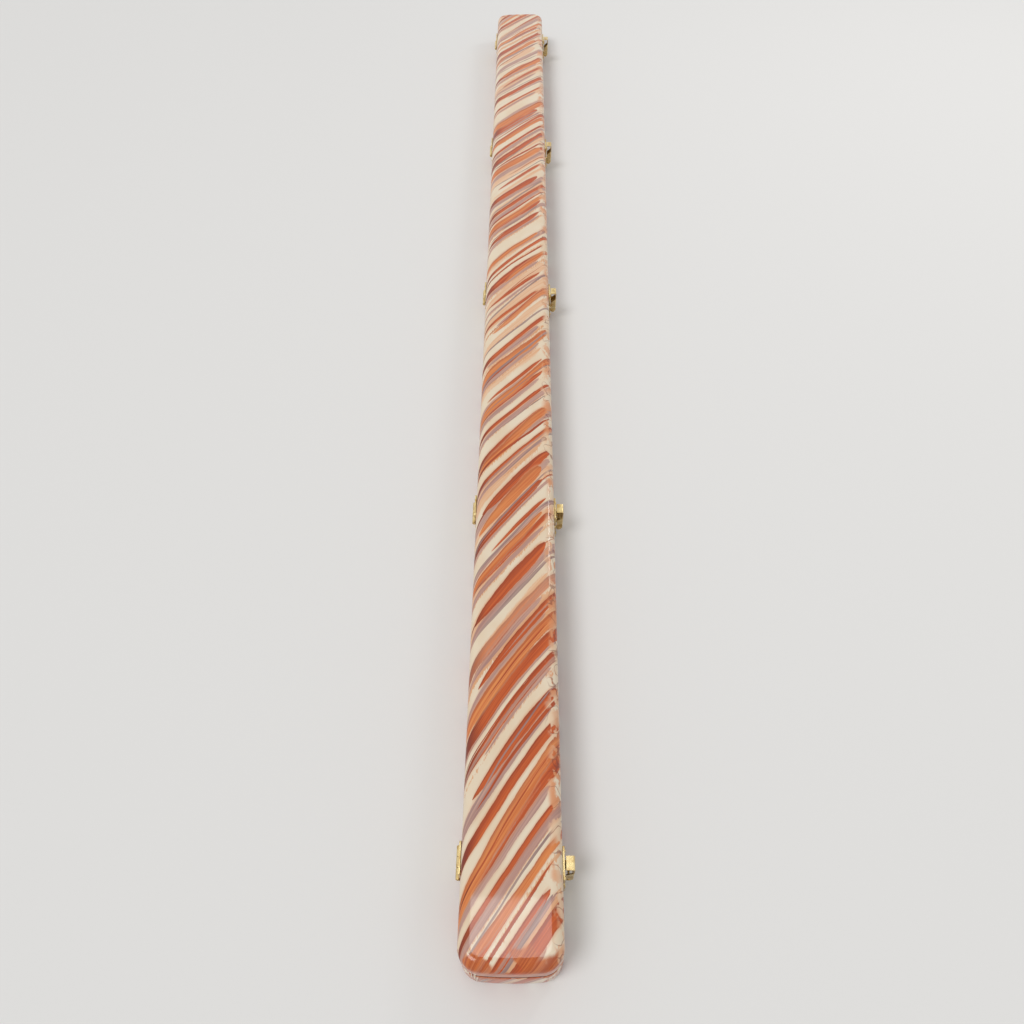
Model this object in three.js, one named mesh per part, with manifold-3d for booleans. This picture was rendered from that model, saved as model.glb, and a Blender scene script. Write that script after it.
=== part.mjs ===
// A long slim hinged case for a one-piece cue or another slender instrument.
// Two covered wooden halves meet at a seam. Five brass butt hinges join them along one long side and five
// brass snap latches close them along the other. Inside, foam cradles in the base and hold-down pads in the
// lid carry two long round lanes.
//
// Units are millimetres. The origin is on the underside, at the middle of the base. +Y runs along the case,
// +X points to the latches and +Z up.

import * as THREE from "three";
import { mergeVertices } from "three/addons/utils/BufferGeometryUtils.js";
import Module from "manifold-3d";

const wasm = await Module();
wasm.setup();

// ---------------------------------------------------------------- driving dimensions

// The body.
const caseLength = 1524;
const caseWidth = 78;
const baseHeight = 28; // from the table to the seam
const lidHeight = 22; // from the seam to the top
const seamGap = 1; // the visible line between the two rims
const cornerRadius = 17; // in plan
const endRadius = 300; // the slight bow of each end, in plan
const lidEdgeRadius = 9; // between the top and its sides
const baseEdgeRadius = 5;

// What the shells are made of.
const coverThickness = 1.2;
const glueGap = 0.3; // glue line between layers, and between glued wooden pieces
const wallThickness = 5;
const panelThickness = 4;
const liningThickness = 1.5;
const liningSetBack = 0.5; // the lining stops this far short of the rim
const endBlockLength = 34; // from the end of the wooden core inwards
const bottomProud = 0.5; // the bottom sheet stands this far below the cover's turned-in edge
const bottomBorder = 7; // width of that turned-in edge

// Cradles and pads.
const cueLaneX = -13.5;
const spareLaneX = 17;
const laneAxisDrop = 2; // the lanes' axes lie this far below the seam
const cueLaneRadii = [15.5, 13, 10, 7.5]; // a cue tapers from butt to tip
const spareLaneRadius = 12;
const cradleLength = 24;
const cradleEndInset = 172; // from each end of the case to the middle of the nearest cradle
const padStandOff = 1.5; // the pads stop this far above the seam
const blockClearance = 0.4; // between a foam block and the lining

// Fittings along the long sides.
const fittingCount = 5;
const fittingEndInset = 77; // from each end of the case to the middle of the nearest latch
const hingeShift = 3; // the hinges lie this far towards +Y from the latches
const plateThickness = 1.5;
const plateLength = 25.5;
const plateCorner = 1.5;
const seatGap = 0.15; // between a plate and the cover under it
const nailHeadRadius = 1.6;
const nailHeadHeight = 0.8;
const nailInset = 2.7; // from a nail's axis to the end of its plate

// Hinges.
const hingeLeafHeight = 12;
const hingeLeafGap = 0.6; // from the hinge axis to a leaf where it has no knuckle
const knuckleRadius = 2.2;
const knuckleGap = 0.4;
const middleKnuckle = 8; // length of the lid leaf's knuckle
const barrelStandOff = 0.3; // between the barrel and the cover
const hingePinRadius = 0.9;
const pinClearance = 0.1;
const pinHeadRadius = 1.5;
const pinHeadHeight = 0.5;

// Latches.
const keeperHeight = 11;
const keeperFoot = 1.6; // from the seam up to the keeper plate
const keeperCrestWidth = 7;
const keeperCrestDepth = 2.1; // from the keeper plate's face out to the crest
const keeperCrestRise = 3; // from the plate's lower edge up to the crest
const latchPlateHeight = 18;
const latchPlateTop = 3; // from the seam down to the latch plate
const leverWidth = 10.8;
const leverSheet = 0.8;
const leverPivotDrop = 15; // from the seam down to the lever's pin
const leverPivotOut = 3.4; // from the plates' faces out to the lever's pin
const leverTopRise = 11.2; // from the seam up to the lever's top
const leverDepth = 7.8; // from the plates' faces out to the lever's front, at the top
const leverFootDepth = 7; // the same at the pin
const leverTopRadius = 1.4;
const leverBossRadius = 2.5;
const lipGap = 1.1; // between the lever's inner edges and the plates
const cheekFront = 2.5; // from the seam up to the cheeks' top edge at the lever's front
const cheekBack = 5; // from the seam down to the same edge at the back
const lipThickness = 1; // twice the gap between the crest's back and the lip
const latchPinRadius = 0.9;
const earThickness = 0.8;
const earRadius = 2;
const earGap = 0.4; // between an ear and the lever's cheek

// ---------------------------------------------------------------- worked-out sizes

const halfLength = caseLength / 2;
const halfWidth = caseWidth / 2;
const seamZ = baseHeight;
const coreInset = coverThickness + glueGap;
const cavityInset = coreInset + wallThickness;
const liningInset = cavityInset + glueGap;
const clearInset = liningInset + liningThickness;
const laneZ = seamZ - laneAxisDrop;
const spread = (count, endInset, i) => (caseLength - 2 * endInset) * (i / (count - 1) - 0.5);
const fittingYs = Array.from({ length: fittingCount }, (_, i) => spread(fittingCount, fittingEndInset, i));
const cradleYs = cueLaneRadii.map((_, i, radii) => spread(radii.length, cradleEndInset, i));

const barrelX = -(halfWidth + barrelStandOff + knuckleRadius);
const plateFaceX = halfWidth + seatGap + plateThickness; // the outer face of every latch plate
const leverPinX = plateFaceX + leverPivotOut;
const leverPinZ = seamZ - leverPivotDrop;

const ROUND_SIDES = 12; // sides of a small round part
const NAIL_SIDES = 8;
const NAIL_RINGS = 2; // rings of a nail's dome
const CORNER_STEPS = 3; // half the steps of one arc in a drawn outline
const EDGE_STEPS = 3; // steps of a rounded long edge
const BEYOND = 10; // how far a cutting solid runs past what it cuts

// ---------------------------------------------------------------- materials

const vinyl = new THREE.MeshStandardMaterial({ color: 0xd9a888, roughness: 0.25, metalness: 0 });
const leatherette = new THREE.MeshStandardMaterial({ color: 0x2b211d, roughness: 0.6, metalness: 0 });
const wood = new THREE.MeshStandardMaterial({ color: 0xc49a6c, roughness: 0.7, metalness: 0 });
const plush = new THREE.MeshStandardMaterial({ color: 0x5a1f22, roughness: 0.95, metalness: 0 });
const foam = new THREE.MeshStandardMaterial({ color: 0x6b2528, roughness: 0.95, metalness: 0 });
const brass = new THREE.MeshStandardMaterial({ color: 0xd8b45a, roughness: 0.25, metalness: 1 });

// ---------------------------------------------------------------- solids

// A closed three.js geometry as a manifold solid.
function solid(geometry) {
  const bare = geometry.clone();
  bare.deleteAttribute("normal");
  bare.deleteAttribute("uv");
  const merged = mergeVertices(bare, 1e-4);
  return new wasm.Manifold(
    new wasm.Mesh({
      numProp: 3,
      vertProperties: new Float32Array(merged.attributes.position.array),
      triVerts: new Uint32Array(merged.index.array),
    }),
  );
}

// A manifold solid as a named mesh.
function meshOf(name, made, material) {
  const { numProp, numVert, vertProperties, triVerts } = made.getMesh();
  const positions = new Float32Array(numVert * 3);
  for (let i = 0; i < numVert; i++) {
    positions.set(vertProperties.subarray(i * numProp, i * numProp + 3), i * 3);
  }
  const geometry = new THREE.BufferGeometry()
    .setAttribute("position", new THREE.BufferAttribute(positions, 3))
    .setIndex(new THREE.BufferAttribute(new Uint32Array(triVerts), 1));
  geometry.computeVertexNormals();
  const mesh = new THREE.Mesh(geometry, material);
  mesh.name = name;
  return mesh;
}

// A box between two corners.
function block(low, high) {
  const size = high.map((v, i) => v - low[i]);
  const geometry = new THREE.BoxGeometry(...size);
  geometry.translate(...low.map((v, i) => v + size[i] / 2));
  return solid(geometry);
}

// A round bar along Y, centred at (x, y, z).
function roundBar(radius, length, x, y, z, sides = ROUND_SIDES) {
  const geometry = new THREE.CylinderGeometry(radius, radius, length, sides);
  geometry.translate(x, y, z);
  return solid(geometry);
}

// A shape drawn in X and Z, as thick as length along Y, centred on y.
function alongY(shape, length, y = 0) {
  const geometry = new THREE.ExtrudeGeometry(shape, { depth: length, bevelEnabled: false, curveSegments: CORNER_STEPS });
  geometry.rotateX(Math.PI / 2);
  geometry.translate(0, y + length / 2, 0);
  return solid(geometry);
}

// The outline of the case in plan, moved in by inset. Straight sides run into round corners, and each end is
// one shallow arc that meets its corners smoothly.
function planShape(inset) {
  const w = halfWidth - inset;
  const r = cornerRadius - inset;
  const big = endRadius - inset;
  const turn = Math.asin((w - r) / (big - r)); // half the angle of the end arc
  const cornerY = halfLength - inset - big + (big - r) * Math.cos(turn);
  const endY = halfLength - inset - big;
  const quarter = Math.PI / 2;
  const shape = new THREE.Shape();
  shape.moveTo(w, -cornerY);
  shape.lineTo(w, cornerY);
  shape.absarc(w - r, cornerY, r, 0, quarter - turn, false);
  shape.absarc(0, endY, big, quarter - turn, quarter + turn, false);
  shape.absarc(-(w - r), cornerY, r, quarter + turn, 2 * quarter, false);
  shape.lineTo(-w, -cornerY);
  shape.absarc(-(w - r), -cornerY, r, 2 * quarter, 3 * quarter - turn, false);
  shape.absarc(0, -endY, big, 3 * quarter - turn, 3 * quarter + turn, false);
  shape.absarc(w - r, -cornerY, r, 3 * quarter + turn, 4 * quarter, false);
  return shape;
}

// The plan outline as a slab between two heights.
function planSlab(inset, low, high) {
  const geometry = new THREE.ExtrudeGeometry(planShape(inset), {
    depth: high - low,
    bevelEnabled: false,
    curveSegments: CORNER_STEPS,
  });
  geometry.translate(0, 0, low);
  return solid(geometry);
}

// The same slab with its upper edge rounded.
function roundedSlab(inset, low, high, edgeRadius) {
  const reach = high - low + 2 * edgeRadius;
  const geometry = new THREE.ExtrudeGeometry(planShape(inset), {
    depth: reach - 2 * edgeRadius,
    bevelEnabled: true,
    bevelThickness: edgeRadius,
    bevelSize: edgeRadius,
    bevelOffset: -edgeRadius,
    bevelSegments: EDGE_STEPS,
    curveSegments: CORNER_STEPS,
  });
  geometry.translate(0, 0, high - reach + edgeRadius);
  return solid(geometry).intersect(
    block([-halfWidth - BEYOND, -halfLength - BEYOND, low], [halfWidth + BEYOND, halfLength + BEYOND, high + BEYOND]),
  );
}

// ---------------------------------------------------------------- the two shells

// One half of the case with its rim at z = 0 and its outer face at z = height. opening is the inset of a
// window in the cover's outer face, for the base's bottom sheet.
function shell(height, edgeRadius, opening) {
  const rimCore = coverThickness + glueGap; // the wood stops this far from the rim
  const coreTop = height - coverThickness - glueGap;
  const cavityTop = coreTop - panelThickness;
  const cavity = planSlab(cavityInset, -BEYOND, cavityTop);

  const underCover = roundedSlab(
    coverThickness,
    coverThickness,
    height - coverThickness,
    edgeRadius - coverThickness,
  );
  let cover = roundedSlab(0, 0, height, edgeRadius)
    .subtract(underCover)
    .subtract(planSlab(cavityInset, -BEYOND, height / 2));
  if (opening) {
    cover = cover.subtract(planSlab(opening, height / 2, height + BEYOND));
  }

  const core = roundedSlab(coreInset, rimCore, coreTop, edgeRadius - coreInset);
  const panel = core.intersect(planSlab(0, cavityTop, height));
  const walls = core.intersect(planSlab(0, 0, cavityTop - glueGap)).subtract(cavity);
  const blockY = halfLength - coreInset - endBlockLength;
  const wide = halfWidth + BEYOND;
  const long = halfLength + BEYOND;
  const railPart = (low, high) => walls.intersect(block([low, -blockY, -BEYOND], [high, blockY, height]));
  const endPart = (low, high) => walls.intersect(block([-wide, low, -BEYOND], [wide, high, height]));

  const lining = planSlab(liningInset, liningSetBack, cavityTop - glueGap).subtract(
    planSlab(clearInset, -BEYOND, cavityTop - glueGap - liningThickness),
  );

  return {
    cover,
    panel,
    lining,
    railMinusX: railPart(-wide, 0),
    railPlusX: railPart(0, wide),
    endBlockMinusY: endPart(-long, -blockY - glueGap),
    endBlockPlusY: endPart(blockY + glueGap, long),
  };
}

// The lid as it stands on the seam.
function lidMeshes() {
  const parts = shell(lidHeight - seamGap / 2, lidEdgeRadius, 0);
  const place = (made) => made.translate([0, 0, seamZ + seamGap / 2]);
  return [
    meshOf("lid_cover", place(parts.cover), vinyl),
    meshOf("lid_panel", place(parts.panel), wood),
    meshOf("lid_rail_hinge_side", place(parts.railMinusX), wood),
    meshOf("lid_rail_latch_side", place(parts.railPlusX), wood),
    meshOf("lid_end_block_near", place(parts.endBlockMinusY), wood),
    meshOf("lid_end_block_far", place(parts.endBlockPlusY), wood),
    meshOf("lid_lining", place(parts.lining), plush),
  ];
}

// The base is the same kind of shell turned over about Y, with a bottom sheet let into its cover.
function baseMeshes() {
  const height = baseHeight - bottomProud - seamGap / 2;
  const parts = shell(height, baseEdgeRadius, bottomBorder);
  const place = (made) => made.rotate([0, 180, 0]).translate([0, 0, seamZ - seamGap / 2]);
  const bottomSheet = planSlab(bottomBorder + glueGap, 0, bottomProud + coverThickness);
  return [
    meshOf("base_cover", place(parts.cover), vinyl),
    meshOf("base_bottom_sheet", bottomSheet, leatherette),
    meshOf("base_panel", place(parts.panel), wood),
    meshOf("base_rail_hinge_side", place(parts.railPlusX), wood),
    meshOf("base_rail_latch_side", place(parts.railMinusX), wood),
    meshOf("base_end_block_near", place(parts.endBlockMinusY), wood),
    meshOf("base_end_block_far", place(parts.endBlockPlusY), wood),
    meshOf("base_lining", place(parts.lining), plush),
  ];
}

// ---------------------------------------------------------------- cradles and pads

const blockHalfWidth = halfWidth - clearInset - blockClearance;
const baseFloorZ = bottomProud + coreInset + panelThickness + glueGap + liningThickness;
const lidCeilingZ = seamZ + lidHeight - coreInset - panelThickness - glueGap - liningThickness;

// Half of a foam block's outline, from one side wall to the other, with a round notch for each lane. The
// notches open towards openZ, and backZ is the flat side against the lining.
function notchedShape(openZ, backZ, lanes) {
  const up = Math.sign(openZ - backZ);
  const shape = new THREE.Shape();
  shape.moveTo(-blockHalfWidth, backZ);
  shape.lineTo(-blockHalfWidth, openZ);
  for (const { x, radius } of lanes) {
    const rise = (openZ - laneZ) / radius;
    const half = Math.sqrt(1 - rise * rise) * radius;
    const angle = Math.atan2(openZ - laneZ, half);
    shape.lineTo(x - half, openZ);
    shape.absarc(x, laneZ, radius, Math.PI - angle, angle, up < 0);
  }
  shape.lineTo(blockHalfWidth, openZ);
  shape.lineTo(blockHalfWidth, backZ);
  shape.closePath();
  return shape;
}

function foamMeshes() {
  return cradleYs.flatMap((y, i) => {
    const lanes = [
      { x: cueLaneX, radius: cueLaneRadii[i] },
      { x: spareLaneX, radius: spareLaneRadius },
    ];
    const cradle = notchedShape(laneZ, baseFloorZ + glueGap, lanes);
    const pad = notchedShape(seamZ + padStandOff, lidCeilingZ - glueGap, lanes);
    return [
      meshOf(`cradle_${i + 1}`, alongY(cradle, cradleLength, y), foam),
      meshOf(`hold_down_pad_${i + 1}`, alongY(pad, cradleLength, y), foam),
    ];
  });
}

// ---------------------------------------------------------------- brass fittings

// A flat plate against a long side of the case, from z low to high. side is -1 at the hinges, +1 at the latches.
function plate(side, y, low, high) {
  const shape = new THREE.Shape();
  const [left, right] = [-plateLength / 2, plateLength / 2];
  const r = plateCorner;
  shape.moveTo(left + r, low);
  shape.lineTo(right - r, low);
  shape.absarc(right - r, low + r, r, -Math.PI / 2, 0, false);
  shape.lineTo(right, high - r);
  shape.absarc(right - r, high - r, r, 0, Math.PI / 2, false);
  shape.lineTo(left + r, high);
  shape.absarc(left + r, high - r, r, Math.PI / 2, Math.PI, false);
  shape.lineTo(left, low + r);
  shape.absarc(left + r, low + r, r, Math.PI, 1.5 * Math.PI, false);
  const geometry = new THREE.ExtrudeGeometry(shape, { depth: plateThickness, bevelEnabled: false, curveSegments: 3 });
  geometry.rotateX(Math.PI / 2);
  geometry.rotateZ(Math.PI / 2);
  const inner = side > 0 ? halfWidth + seatGap : -(halfWidth + seatGap + plateThickness);
  geometry.translate(inner, y, 0);
  return solid(geometry);
}

// The domed head of a nail, standing on the outer face of a plate and reaching into it.
function nailHead(side, y, z) {
  const sink = plateThickness / 2;
  const profile = [new THREE.Vector2(0, -sink), new THREE.Vector2(nailHeadRadius, -sink)];
  for (let i = 0; i < NAIL_RINGS; i++) {
    const t = (i / NAIL_RINGS) * (Math.PI / 2);
    profile.push(new THREE.Vector2(nailHeadRadius * Math.cos(t), nailHeadHeight * Math.sin(t)));
  }
  profile.push(new THREE.Vector2(0, nailHeadHeight));
  const geometry = new THREE.LatheGeometry(profile, NAIL_SIDES);
  geometry.rotateZ((-side * Math.PI) / 2);
  geometry.translate(side * (halfWidth + seatGap + plateThickness), y, z);
  return solid(geometry);
}

function withNails(made, side, y, z) {
  const reach = plateLength / 2 - nailInset;
  return made.add(nailHead(side, y - reach, z)).add(nailHead(side, y + reach, z));
}

// One knuckle and the web that ties it to a leaf lying above (up = 1) or below (up = -1) the axis.
function knuckle(y, length, up) {
  const leafOuter = -(halfWidth + seatGap + plateThickness);
  const leafInner = -(halfWidth + seatGap);
  const ends = [seamZ, seamZ + up * (knuckleRadius + hingeLeafGap + plateThickness)].sort((a, b) => a - b);
  const web = block([leafOuter, y - length / 2, ends[0]], [leafInner, y + length / 2, ends[1]]);
  return roundBar(knuckleRadius, length, barrelX, y, seamZ).add(web);
}

function hingeMeshes(y, number) {
  const outerKnuckle = (plateLength - middleKnuckle) / 2 - knuckleGap;
  const outerY = (plateLength - outerKnuckle) / 2;
  const clearHeight = knuckleRadius + hingeLeafGap;
  const bore = roundBar(hingePinRadius + pinClearance, plateLength + BEYOND, barrelX, y, seamZ);
  const nailDrop = clearHeight + hingeLeafHeight / 2;
  const lidPlate = plate(-1, y, seamZ + clearHeight, seamZ + clearHeight + hingeLeafHeight);
  const basePlate = plate(-1, y, seamZ - clearHeight - hingeLeafHeight, seamZ - clearHeight);
  const lidLeaf = withNails(lidPlate, -1, y, seamZ + nailDrop)
    .add(knuckle(y, middleKnuckle, 1))
    .subtract(bore);
  const baseLeaf = withNails(basePlate, -1, y, seamZ - nailDrop)
    .add(knuckle(y - outerY, outerKnuckle, -1))
    .add(knuckle(y + outerY, outerKnuckle, -1))
    .subtract(bore);
  const headY = plateLength / 2 + pinHeadHeight / 2 + pinClearance;
  const shank = roundBar(hingePinRadius, 2 * headY, barrelX, y, seamZ);
  const pin = shank
    .add(roundBar(pinHeadRadius, pinHeadHeight, barrelX, y - headY, seamZ))
    .add(roundBar(pinHeadRadius, pinHeadHeight, barrelX, y + headY, seamZ));
  return [
    meshOf(`hinge_${number}_lid_leaf`, lidLeaf, brass),
    meshOf(`hinge_${number}_base_leaf`, baseLeaf, brass),
    meshOf(`hinge_${number}_pin`, pin, brass),
  ];
}

// The keeper: a plate on the lid with a low crest. The lever's lip hooks over the crest's sloping back.
function keeper(y, lipZ) {
  const low = seamZ + keeperFoot;
  const root = plateFaceX - plateThickness / 2;
  const shape = new THREE.Shape();
  shape.moveTo(root, low + keeperCrestRise / 2);
  shape.lineTo(plateFaceX, low + keeperCrestRise / 2);
  shape.lineTo(plateFaceX + keeperCrestDepth, low + keeperCrestRise);
  shape.lineTo(plateFaceX, lipZ - lipThickness / 2);
  shape.lineTo(root, lipZ - lipThickness / 2);
  shape.closePath();
  const base = plate(1, y, low, low + keeperHeight);
  return withNails(base, 1, y, low + keeperHeight / 2).add(alongY(shape, keeperCrestWidth, y));
}

// The latch plate on the base, with two ears that hold the lever's pin.
function latchPlate(y) {
  const high = seamZ - latchPlateTop;
  const low = high - latchPlateHeight;
  const earY = leverWidth / 2 - leverSheet - earGap - earThickness / 2;
  let made = withNails(plate(1, y, low, high), 1, y, low + latchPlateHeight / 4);
  for (const side of [-1, 1]) {
    const at = y + side * earY;
    const arm = block(
      [plateFaceX - plateThickness / 2, at - earThickness / 2, leverPinZ - earRadius],
      [leverPinX, at + earThickness / 2, leverPinZ + earRadius],
    );
    made = made.add(arm).add(roundBar(earRadius, earThickness, leverPinX, at, leverPinZ));
  }
  return made.subtract(roundBar(latchPinRadius + pinClearance, leverWidth, leverPinX, y, leverPinZ));
}

// The lever's side view. wall is how far it is drawn inside the sheet's outer face, and open leaves its inner
// side open for the hollow of the channel.
function leverShape(wall, open) {
  const top = seamZ + leverTopRise - wall;
  const frontTop = plateFaceX + leverDepth - wall;
  const frontFoot = plateFaceX + leverFootDepth - wall;
  const r = leverTopRadius - wall;
  const back = open ? plateFaceX - plateThickness : plateFaceX + lipGap;
  const foot = open ? leverPinZ - leverBossRadius - BEYOND / 2 : leverPinZ;
  const shape = new THREE.Shape();
  shape.moveTo(frontFoot, foot);
  shape.lineTo(frontTop, top - r);
  shape.absarc(frontTop - r, top - r, r, 0, Math.PI / 2, false);
  shape.lineTo(back, top);
  if (open) {
    shape.lineTo(back, foot);
  } else {
    shape.lineTo(back, leverPinZ + 2 * leverBossRadius);
    shape.lineTo(leverPinX - leverBossRadius, leverPinZ);
    shape.absarc(leverPinX, leverPinZ, leverBossRadius, Math.PI, 2 * Math.PI, false);
  }
  shape.closePath();
  return shape;
}

// The lever is a folded strap. Its two cheeks reach from the pin to a sloping edge, and above that only the
// strap's front and its hooked top are left.
function lever(y) {
  const back = plateFaceX - plateThickness;
  const front = plateFaceX + leverDepth;
  const over = new THREE.Shape();
  over.moveTo(back, seamZ - cheekBack);
  over.lineTo(front, seamZ + cheekFront);
  over.lineTo(front, seamZ + leverTopRise);
  over.lineTo(back, seamZ + leverTopRise);
  over.closePath();
  const hollow = leverShape(leverSheet, true);
  const openSides = alongY(hollow, leverWidth + BEYOND, y).intersect(alongY(over, leverWidth + BEYOND, y));
  return alongY(leverShape(0, false), leverWidth, y)
    .subtract(alongY(hollow, leverWidth - 2 * leverSheet, y))
    .subtract(openSides)
    .subtract(roundBar(latchPinRadius + pinClearance, leverWidth + BEYOND, leverPinX, y, leverPinZ));
}

function latchMeshes(y, number) {
  const lipZ = seamZ + leverTopRise - leverSheet;
  const headY = leverWidth / 2 + pinHeadHeight / 2 + pinClearance;
  const pin = roundBar(latchPinRadius, 2 * headY, leverPinX, y, leverPinZ)
    .add(roundBar(pinHeadRadius, pinHeadHeight, leverPinX, y - headY, leverPinZ))
    .add(roundBar(pinHeadRadius, pinHeadHeight, leverPinX, y + headY, leverPinZ));
  return [
    meshOf(`latch_${number}_keeper`, keeper(y, lipZ), brass),
    meshOf(`latch_${number}_plate`, latchPlate(y), brass),
    meshOf(`latch_${number}_lever`, lever(y), brass),
    meshOf(`latch_${number}_pin`, pin, brass),
  ];
}

// ---------------------------------------------------------------- assembly

const caseGroup = new THREE.Group();
caseGroup.add(...baseMeshes());
caseGroup.add(...lidMeshes());
caseGroup.add(...foamMeshes());
fittingYs.forEach((y, i) => {
  caseGroup.add(...hingeMeshes(y + hingeShift, i + 1));
  caseGroup.add(...latchMeshes(y, i + 1));
});

export default caseGroup;
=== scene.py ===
"""Looks of a long slim hinged case: patterned gloss vinyl, brass butt hinges and snap latches, plush lining."""

import math

import bmesh
import bpy
from mathutils import Matrix, Vector


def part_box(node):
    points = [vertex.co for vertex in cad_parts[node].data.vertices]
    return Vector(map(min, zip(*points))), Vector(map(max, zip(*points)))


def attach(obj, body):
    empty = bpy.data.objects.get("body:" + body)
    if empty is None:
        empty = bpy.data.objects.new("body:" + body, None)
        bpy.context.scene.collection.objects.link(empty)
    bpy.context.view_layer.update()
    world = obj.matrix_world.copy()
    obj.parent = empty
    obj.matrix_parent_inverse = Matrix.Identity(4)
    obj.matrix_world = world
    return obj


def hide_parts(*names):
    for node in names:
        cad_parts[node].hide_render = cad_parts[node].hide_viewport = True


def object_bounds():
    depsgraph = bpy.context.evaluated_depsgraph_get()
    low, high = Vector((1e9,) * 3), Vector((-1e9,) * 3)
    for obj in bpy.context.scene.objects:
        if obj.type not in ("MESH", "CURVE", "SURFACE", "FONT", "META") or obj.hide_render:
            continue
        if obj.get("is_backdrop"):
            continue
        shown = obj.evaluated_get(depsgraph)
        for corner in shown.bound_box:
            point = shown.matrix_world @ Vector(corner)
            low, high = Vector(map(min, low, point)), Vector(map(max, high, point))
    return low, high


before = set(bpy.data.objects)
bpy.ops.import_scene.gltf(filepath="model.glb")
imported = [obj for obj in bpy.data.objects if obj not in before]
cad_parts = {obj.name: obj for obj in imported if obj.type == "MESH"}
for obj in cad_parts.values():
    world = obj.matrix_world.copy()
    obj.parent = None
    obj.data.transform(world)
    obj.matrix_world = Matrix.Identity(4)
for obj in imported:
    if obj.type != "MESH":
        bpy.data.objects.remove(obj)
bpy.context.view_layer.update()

MM = 0.001  # shapes below are written in millimetres and built in metres

# ------------------------------------------------------------------ sizes, in millimetres


def box_mm(node):
    low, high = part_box(node)
    return low / MM, high / MM


lid_low, lid_high = box_mm("lid_cover")
base_low, base_high = box_mm("base_cover")
sheet_low, sheet_high = box_mm("base_bottom_sheet")
HALF_WIDTH = lid_high.x
HALF_LENGTH = lid_high.y
TOP = lid_high.z
LID_RIM = lid_low.z
BASE_RIM = base_high.z
BASE_FOOT = base_low.z
SEAM = (LID_RIM + BASE_RIM) / 2

CORNER_RADIUS = 17.0  # in plan
END_RADIUS = 300.0  # the shallow bow of each end
LID_EDGE = 9.0  # radius of the lid's upper edge
BASE_EDGE = 5.0
RIM_EDGE = 3.0  # radius of the covering where it turns in at the seam
SEAM_SHADE_BAND = 2.3  # the painted seam shade reaches this far above and below the seam
COVER = 1.2  # thickness of the covering
CAVITY_INSET = 6.5
LINING_INSET = 6.8
LINING = 1.5

HIDDEN_RUN = 60  # the pattern's place on faces that nothing shows
TURN_IN_RADIUS = 0.4  # where the turned-in covering meets the wall
SHEET_BORDER = 7.0  # the covering's border round the bottom sheet
SHEET_INSET = 7.3
SHEET_EDGE = 0.4

PLATE = 1.5  # thickness of the brass plates
PLATE_GAP = 0.15  # between the covering and a plate
PLATE_FACE = HALF_WIDTH + PLATE_GAP + PLATE
PLATE_BEVEL = 0.22
NAIL_RADIUS = 1.6
NAIL_HEIGHT = 0.8
NAIL_SINK = 0.3  # how far a nail's head starts below the plate's face
NAIL_INSET = 2.7
PIN_SHANK = 0.9  # radius
PIN_HEAD = 0.5  # depth

fittings = range(1, 6)
cradles = range(1, 5)

# ------------------------------------------------------------------ meshes


def add_object(name, bm, material, body, nodes, smooth=True, weighted=True):
    """Turns a bmesh in millimetres into a piece that rides on a body and stands for CAD nodes."""
    bmesh.ops.recalc_face_normals(bm, faces=bm.faces)
    mesh = bpy.data.meshes.new(name)
    bm.to_mesh(mesh)
    bm.free()
    mesh.transform(Matrix.Scale(MM, 4))
    mesh.polygons.foreach_set("use_smooth", [smooth] * len(mesh.polygons))
    mesh.materials.append(material)
    piece = bpy.data.objects.new(name, mesh)
    bpy.context.scene.collection.objects.link(piece)
    if weighted:
        modifier = piece.modifiers.new("weighted_normals", "WEIGHTED_NORMAL")
        modifier.keep_sharp = True
        modifier.weight = 80
    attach(piece, body)
    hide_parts(*nodes)
    return piece


def arc(centre, radius, start, end, steps):
    """Points of a circular arc, from start to end in degrees, both included."""
    angles = [math.radians(start + (end - start) * i / steps) for i in range(steps + 1)]
    return [(centre[0] + radius * math.cos(a), centre[1] + radius * math.sin(a)) for a in angles]


def plan_outline(side_steps=76, corner_steps=10, end_steps=14):
    """Points of the case's outline in plan, each with its outward normal, anticlockwise from the +X side."""
    reach = END_RADIUS - CORNER_RADIUS
    arm = HALF_WIDTH - CORNER_RADIUS
    turn = math.degrees(math.asin(arm / reach))
    corner_y = HALF_LENGTH - END_RADIUS + reach * math.cos(math.radians(turn))
    points = []

    def add_arc(centre, radius, start, end, steps):
        for i in range(steps):
            a = math.radians(start + (end - start) * i / steps)
            n = Vector((math.cos(a), math.sin(a)))
            points.append((Vector(centre) + radius * n, n))

    def add_side(x, start, end):
        for i in range(side_steps):
            y = start + (end - start) * i / side_steps
            points.append((Vector((x, y)), Vector((math.copysign(1, x), 0))))

    end_y = HALF_LENGTH - END_RADIUS
    add_side(HALF_WIDTH, -corner_y, corner_y)
    add_arc((arm, corner_y), CORNER_RADIUS, 0, 90 - turn, corner_steps)
    add_arc((0, end_y), END_RADIUS, 90 - turn, 90 + turn, end_steps)
    add_arc((-arm, corner_y), CORNER_RADIUS, 90 + turn, 180, corner_steps)
    add_side(-HALF_WIDTH, corner_y, -corner_y)
    add_arc((-arm, -corner_y), CORNER_RADIUS, 180, 270 - turn, corner_steps)
    add_arc((0, -end_y), END_RADIUS, 270 - turn, 270 + turn, end_steps)
    add_arc((arm, -corner_y), CORNER_RADIUS, 270 + turn, 360, corner_steps)
    return points


OUTLINE = plan_outline()


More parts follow.
